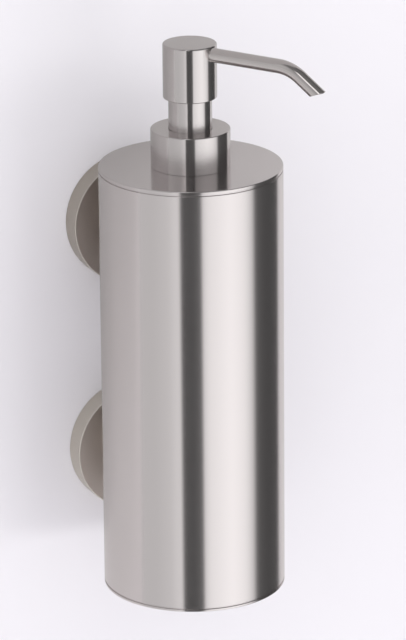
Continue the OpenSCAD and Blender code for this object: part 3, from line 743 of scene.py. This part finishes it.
def base():
    """The base plate, pressed into the tube's lower end."""
    foot = base_foot / MM
    rim_top = foot + 1
    spigot_r = TUBE_IN_R - FIT_GAP
    spigot_in_r = spigot_r - 2.5
    spigot_top = TUBE_FOOT_Z + 4
    return turned("base", in_mm(
        (0, foot), (BODY_R, foot, 0.35), (BODY_R, rim_top, 0.12), (SEAM_R, rim_top),
        (SEAM_R, TUBE_FOOT_Z), (spigot_r, TUBE_FOOT_Z), (spigot_r, spigot_top, 0.3),
        (spigot_in_r, spigot_top, 0.3), (spigot_in_r, TUBE_FOOT_Z), (0, TUBE_FOOT_Z),
    ), closed=False)


def collar():
    """The round steel collar over the screw cap. It comes down to just above the cover."""
    outer = COLLAR_RADIUS / MM
    in_r = outer - 0.6
    hole_r = 9.1
    top = collar_high.z / MM
    roof = top - 0.8
    foot = collar_low.z / MM - 0.2
    return turned("collar", in_mm(
        (hole_r, top, 0.1), (outer, top, 0.45), (outer, foot, 0.05), (in_r, foot, 0.05),
        (in_r, roof), (hole_r, roof, 0.1),
    ))


def head():
    """The press head and its sleeve, turned as one hollow shell, with a hole for the spout."""
    wall = 0.8
    side_h = 22.8
    underside_rise = 0.6
    sleeve_r = 8.95
    sleeve_wall = 0.55
    sleeve_in_r = sleeve_r - sleeve_wall
    outer = HEAD_RADIUS / MM
    in_r = outer - wall
    top = head_high.z / MM
    foot = head_low.z / MM
    side_foot = top - side_h
    underside = side_foot - underside_rise
    slope = underside_rise / (outer - sleeve_r)
    inner_floor = underside + wall * math.hypot(1, slope) - sleeve_wall * slope
    floor_edge = inner_floor + (in_r - sleeve_in_r) * slope
    piece = turned("head", in_mm(
        (0, top), (outer, top, 0.7), (outer, side_foot, 0.5), (sleeve_r, underside),
        (sleeve_r, foot, 0.1), (sleeve_in_r, foot, 0.1), (sleeve_in_r, inner_floor),
        (in_r, floor_edge), (in_r, top - wall), (0, top - wall),
    ), closed=False)
    out = Vector((math.sin(SPOUT_TURN), -math.cos(SPOUT_TURN), 0))
    centre = AXIS + out * HEAD_RADIUS + Vector((0, 0, head_high.z - SPOUT_DEPTH))
    along_spout = (math.pi / 2, 0, SPOUT_TURN)
    drill(piece, SPOUT_RADIUS + FIT_GAP * MM, centre, HEAD_RADIUS, along_spout)
    return piece


def rosette(name, height):
    """A hollow wall rosette with a rounded front edge. Its underside has the grub screw's hole."""
    outer = 27.75
    front = 10
    wall = 3
    hollow_r = outer - wall
    hollow = front - wall
    hole_r = 2.75
    sink_r = 4.85
    sink_foot = hollow + sink_r - hole_r
    grub_hole_r = 2.05
    grub_hole_depth = 6
    grub_hole_off_wall = 3.5
    grub_hole_below = 26.25
    piece = turned(name, in_mm(
        (hole_r, front), (outer, front, 0.4), (outer, 0), (hollow_r, 0), (hollow_r, hollow),
        (sink_r, hollow), (hole_r, sink_foot),
    ), axis=Vector((0, 0, 0)))
    set_on_wall(piece, height)
    grub_place = (0, -grub_hole_off_wall * MM, height - grub_hole_below * MM)
    drill(piece, grub_hole_r * MM, grub_place, grub_hole_depth * MM)
    return piece


def post(name, height):
    """The post from the rosette to the body, with a screw hole in each end.

    Its front is turned too long, and the body's round then cuts the saddle that fits the tube.
    """
    outer = 8
    back = 10
    front = 28
    cut_room = 5
    cut_height = 30
    back_hole_r = 2.55
    back_hole_end = back + 7.2
    front_hole_r = 3.05
    front_hole_end = front - 9.7
    piece = turned(name, in_mm(
        (0, back_hole_end), (back_hole_r, back_hole_end), (back_hole_r, back, 0.2),
        (outer, back, 0.2), (outer, front + cut_room), (front_hole_r, front + cut_room),
        (front_hole_r, front_hole_end), (0, front_hole_end),
    ), axis=Vector((0, 0, 0)), closed=False)
    set_on_wall(piece, height)
    centre = (AXIS.x, AXIS.y, height)
    drill(piece, BODY_RADIUS + FIT_GAP * MM, centre, cut_height * MM, sides=TURN_STEPS)
    return piece


def bottle():
    """The inner bottle: a pushed-up foot, a sloping shoulder, and a threaded neck with a ring."""
    outer = 31.0
    wall = 1.2
    in_r = outer - wall
    foot = -88.7
    foot_round = 6.0
    push_r = 17.5
    push_h = 2.5
    shoulder_z = 72.77
    shoulder_round = 10.0
    shoulder_in_round = shoulder_round - wall
    lift = math.tan(math.radians(64) / 2)
    shoulder_in_end = 87.54
    ring_r = 17.0
    ring_foot = 87.8
    ring_top = 89.3
    thread_foot = 93.2
    piece = turned("bottle", in_mm(
        (0, foot + push_h), (push_r, foot), (outer, foot, foot_round),
        (outer, shoulder_z + shoulder_round * lift, shoulder_round), (NECK_R, ring_foot),
        (ring_r, ring_foot, 0.3), (ring_r, ring_top, 0.3), (NECK_R, ring_top),
        (NECK_R, NECK_TOP_Z, 0.3), (NECK_BORE_R, NECK_TOP_Z, 0.2), (NECK_BORE_R, shoulder_in_end),
        (in_r, shoulder_z + shoulder_in_round * lift, shoulder_in_round),
        (in_r, foot + wall, foot_round - wall), (push_r, foot + wall), (0, foot + push_h + wall),
    ), closed=False)
    return threaded(piece, "neck_thread", NECK_R * MM - THREAD_SINK, thread_foot * MM)


def screw_cap():
    """The closure under the collar, with a thread inside that passes clear of the neck's."""
    hole_r = 9.35
    outer = 15.75
    bore_r = 13.9
    top = 106.25
    roof = 104.45
    foot = 91.45
    thread_foot = 93.0
    piece = turned("closure", in_mm(
        (hole_r, top, 0.2), (outer, top, 0.4), (outer, foot, 0.2), (bore_r, foot, 0.2),
        (bore_r, roof), (hole_r, roof, 0.2),
    ))
    return threaded(piece, "cap_thread", bore_r * MM + THREAD_SINK, thread_foot * MM)


def housing():
    """The pump's cylinder, hung in the neck by its flange.

    The cage and the valve's seat are below, over the tube's socket. The vent is near the top.
    """
    flange_foot, flange_top = 103.05, 104.35
    cup_r, cup_in_r, cup_floor = 10.25, 9.35, 94.0
    cylinder_r, cylinder_in_r, cylinder_top = 8, 7, 92.8
    ledge = 58.2
    cage_in_r, cage_foot = 1.98, 57.0
    chamber_r, chamber_foot = 2.78, 52.46
    seat_r, seat_foot, seat_top = 1.6, 49.68, 51.28
    socket_r, socket_in_r = 4.75, 3.65
    socket_foot, socket_top = 39.68, 54.95
    vent_r, vent_depth, vent_place = 0.6, 2, (7.5, 0, 88.5)
    slot_r, slot_count, slot_size = 2.3, 3, (1, 1.2, 2.6)
    piece = turned("pump_cylinder", in_mm(
        (NECK_R, flange_top, 0.2), (NECK_R, flange_foot, 0.2), (cup_r, flange_foot),
        (cup_r, cup_floor, 0.3), (cylinder_r, cylinder_top), (cylinder_r, ledge, 0.5),
        (socket_r, socket_top, 0.5), (socket_r, socket_foot, 0.2),
        (socket_in_r, socket_foot, 0.15), (socket_in_r, seat_foot), (seat_r, seat_foot),
        (seat_r, seat_top), (chamber_r, chamber_foot), (chamber_r, cage_foot),
        (cage_in_r, cage_foot), (cage_in_r, ledge), (cylinder_in_r, ledge),
        (cylinder_in_r, cup_floor, 0.2), (cup_in_r, cup_floor), (cup_in_r, flange_top, 0.15),
    ))
    drill(piece, vent_r * MM, AXIS + Vector(vent_place) * MM, vent_depth * MM, (0, math.pi / 2, 0))
    for i in range(slot_count):
        turn = i * FULL_TURN / slot_count
        out = Vector((math.cos(turn), math.sin(turn), 0)) * slot_r * MM
        place = AXIS + out + Vector((0, 0, ledge * MM))
        bpy.ops.object.select_all(action="DESELECT")
        bpy.ops.mesh.primitive_cube_add(
            size=1, location=place, rotation=(0, 0, turn), scale=Vector(slot_size) * MM,
        )
        cut_away(piece, bpy.context.object)
    return piece


def stem_guide():
    """The guide pressed into the housing's cup, through which the stem slides."""
    bore_r = 3.5
    outer = 8.1
    in_r = 6.1
    rim_r = 9.3
    top = 105.5
    roof = top - 3
    rim_top = 95.2
    foot = 94.0
    return turned("guide", in_mm(
        (bore_r, top, 0.3), (outer, top, 0.3), (outer, rim_top, 0.2), (rim_r, rim_top, 0.2),
        (rim_r, foot, 0.2), (in_r, foot), (in_r, roof), (bore_r, roof),
    ))


def gasket():
    """The flat ring between the neck and the housing's flange."""
    inner = 10.35
    top = NECK_TOP_Z + 1.2
    return turned("flat_gasket", in_mm(
        (inner, NECK_TOP_Z, 0.15), (NECK_R, NECK_TOP_Z, 0.25), (NECK_R, top, 0.25),
        (inner, top, 0.15),
    ))


def suction_tube():
    """The dip tube: a ring pushed down to the bottle's foot, where it is cut off at a slant."""
    radius = 3.6 * MM
    wall = 0.9 * MM
    top = 49.58 * MM
    foot = -83.0 * MM
    piece = start_tube("suction_tube", SUCTION_TUBE_SIDES, radius, (AXIS.x, AXIS.y, top))
    push_out((0, 0, foot - top))
    end_tube(piece, AXIS + Vector((-radius, 0, foot)), (1, 0, -1), wall)
    return piece


def spring():
    """The return spring of round wire, with a closed turn at each end."""
    radius = 5.2 * MM
    wire = 0.45 * MM
    closed = 1.4 * MM
    free_turns = 7
    free = (SPRING_TOP - SPRING_FOOT - 2 * wire - 2 * closed) / free_turns
    turns = coil(radius, SPRING_FOOT + wire, [(1, closed), (free_turns, free), (1, closed)])
    return wound("coil_spring", turns, wire)


def spout():
    """The bent tube: a ring pushed out, spun round the bend, pushed on and cut off at a slant."""
    height = head_high.z - SPOUT_DEPTH
    bend_out = SPOUT_BEND * math.sin(SPOUT_BEND_ANGLE)
    bend_drop = SPOUT_BEND * (1 - math.cos(SPOUT_BEND_ANGLE))
    bend_centre = (SPOUT_STRAIGHT, 0, height - SPOUT_BEND)
    down = Vector((math.cos(SPOUT_BEND_ANGLE), 0, -math.sin(SPOUT_BEND_ANGLE)))
    run = (SPOUT_REACH - SPOUT_STRAIGHT - bend_out) / down.x
    outlet = (SPOUT_REACH, 0, height - bend_drop + down.z * run)
    cut_normal = (math.sin(SPOUT_CUT_ANGLE), 0, -math.cos(SPOUT_CUT_ANGLE))
    start = (SPOUT_START, 0, height)
    piece = start_tube("spout", SPOUT_SIDES, SPOUT_RADIUS, start, (0, math.pi / 2, 0))
    push_out((SPOUT_STRAIGHT - SPOUT_START, 0, 0))
    bpy.ops.mesh.spin(
        steps=SPOUT_BEND_STEPS, angle=SPOUT_BEND_ANGLE, center=bend_centre, axis=(0, -1, 0),
    )
    push_out(down * (run + 2 * SPOUT_RADIUS))
    end_tube(piece, outlet, cut_normal, SPOUT_WALL)
    piece.rotation_euler.z = SPOUT_TURN - math.pi / 2
    piece.location = AXIS
    return piece


camera()
backdrop()
studio_dome()
lights()

upper, lower = rosette_heights
flat_top = {"roughness": 0.14, "stretch": 0.9, "grain": 0.6}
disc = {"axis": "Y", "roughness": 0.3, "stretch": 0.0}
upright_steel = brushed_steel("satin_steel_upright", AXIS)
pump_steel = brushed_steel("satin_steel_pump", AXIS, colour=(0.605, 0.572, 0.568), roughness=0.18)
tube_steel = drawn_steel("satin_steel_spout")
upright_top = brushed_steel("satin_steel_cover_top", AXIS, **flat_top)
# Painted shade: the head's and collar's flat tops get a darker copy of the pump's steel, standing
# in for the shade they mirror.
pump_top_painted_shade = brushed_steel("satin_steel_pump_top_painted_shade", AXIS, colour=(0.585, 0.55, 0.543), **flat_top)
# Painted light: the rosettes and their posts use lighter, warmer copies of the satin steel; the
# lower copy is much lighter, standing in for the brighter reflections the lower rosette catches.
upper_steel_painted_light = brushed_steel(
    "satin_steel_upper_rosette_painted_light", (0, 0, upper), colour=(0.69, 0.64, 0.59), **disc,
)
lower_steel_painted_light = brushed_steel(
    "satin_steel_lower_rosette_painted_light", (0, 0, lower), colour=(0.79, 0.745, 0.69), **disc,
)
finishes = {
    "plate_steel": plain_metal("zinc_plated_steel", (0.58, 0.59, 0.6), 0.38),
    "screw_steel": plain_metal("screw_steel", (0.6, 0.6, 0.61), 0.3),
    "spring_steel": plain_metal("spring_steel", (0.68, 0.68, 0.69), 0.24),
    "bottle_plastic": moulded("bottle_plastic", (0.7, 0.72, 0.7), 0.42),
    "pump_plastic": moulded("pump_plastic", (0.74, 0.74, 0.73), 0.36),
    "seal_plastic": moulded("seal_plastic", (0.62, 0.65, 0.68), 0.4),
    "black_rubber": moulded("black_rubber", (0.03, 0.03, 0.03), 0.6),
    "satin_steel": upright_steel,
}
slots = {part["node"]: part["material_slot"] for part in frame["record"]["subparts"]}
for name, node in frame["nodes"].items():
    node.material_slots[0].material = finishes[slots[name]]

bottle_plastic = finishes["bottle_plastic"]
pump_plastic = finishes["pump_plastic"]
coil_spring = spring()
UPWARD = 0.99
# Each piece with its finish and that of its flat top, its body, and the node that it stands for
for piece, looks, body, node in (
    (body_shell(), (upright_steel,), "wall_body", "body_tube"),
    (cover(), (upright_steel, upright_top), "wall_body", "top_cover"),
    (base(), (upright_steel,), "wall_body", "base_plate"),
    (rosette("rosette_above", upper), (upper_steel_painted_light,), "wall_body", "upper_rosette"),
    (rosette("rosette_below", lower), (lower_steel_painted_light,), "wall_body", "lower_rosette"),
    (post("post_above", upper), (upper_steel_painted_light,), "wall_body", "upper_post"),
    (post("post_below", lower), (lower_steel_painted_light,), "wall_body", "lower_post"),
    (bottle(), (bottle_plastic,), "wall_body", "inner_bottle"),
    (collar(), (pump_steel, pump_top_painted_shade), "collar", "collar_shell"),
    (screw_cap(), (pump_plastic,), "collar", "screw_cap"),
    (housing(), (pump_plastic,), "pump", "pump_housing"),
    (stem_guide(), (pump_plastic,), "pump", "stem_guide"),
    (gasket(), (finishes["black_rubber"],), "pump", "neck_gasket"),
    (suction_tube(), (bottle_plastic,), "pump", "dip_tube"),
    (coil_spring, (finishes["spring_steel"],), "pump", "return_spring"),
    (head(), (pump_steel, pump_top_painted_shade), "head", "head_shell"),
    (spout(), (tube_steel,), "head", "spout_tube"),
):
    for look in looks:
        piece.data.materials.append(look)
    finish_mesh(piece)
    if len(looks) > 1:
        for face in piece.data.polygons:
            face.material_index = int(face.normal.z > UPWARD)
    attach(piece, body)
    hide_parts(node)
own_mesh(coil_spring)

bpy.context.scene.view_settings.view_transform = "Standard"
